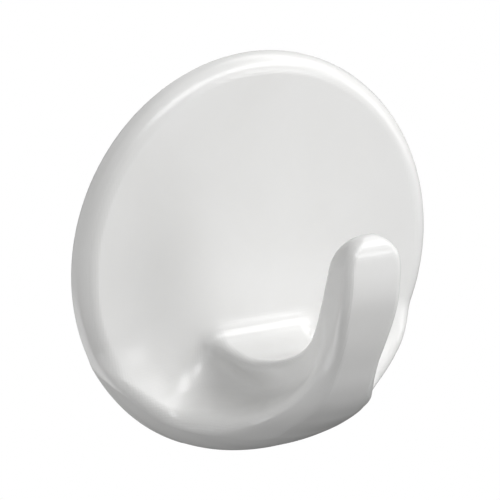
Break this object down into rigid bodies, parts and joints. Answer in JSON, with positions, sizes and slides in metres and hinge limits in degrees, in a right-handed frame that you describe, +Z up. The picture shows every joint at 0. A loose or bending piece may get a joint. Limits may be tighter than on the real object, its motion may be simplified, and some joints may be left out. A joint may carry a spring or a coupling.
{
  "type": "adhesive wall hook",
  "caption": "Round white wall hook: a rimmed plate with a moulded J-shaped hook, held by a stretch-release adhesive strip with a hidden pull tab and a peel-off liner.",
  "frame": {"origin": "centre of the bonded face on the wall: the middle of the strip's bonded length and the axis of the round plate, on the outer face of the release liner", "axes": "+Y points straight into the wall, +Z up along the wall, +X to the right as seen from in front; the hook stands out towards -Y"},
  "size_m": [0.045, 0.0261, 0.0448],
  "materials": {
    "white_gloss_plastic": "glossy moulded, fine orange peel",
    "foam_core": "matte closed-cell foam",
    "clear_adhesive": "tacky semi-gloss film",
    "tab_film": null,
    "liner_paper": "silicone-coated paper, satin"
  },
  "bodies": {
    "hook": {"hook_body": "white_gloss_plastic", "strip_core": "foam_core", "hook_side_adhesive": "clear_adhesive", "wall_side_adhesive": "clear_adhesive"},
    "pull_tab": {"tab_film_front": "tab_film", "tab_film_back": "tab_film"},
    "release_liner": {"release_liner": "liner_paper"}
  },
  "joints": [
    {"name": "tab_pull", "type": "slide", "parent": "hook", "child": "pull_tab", "axis": [0, 0, -1], "range_m": [0, 0.12], "stiffness_N_per_m": 100, "deforming": ["strip_core", "hook_side_adhesive", "wall_side_adhesive"]},
    {"name": "liner_peel", "type": "hinge", "parent": "hook", "child": "release_liner", "pos_m": [0, -0.0001, 0.0155], "axis": [1, 0, 0], "range_deg": [0, 150]}
  ]
}
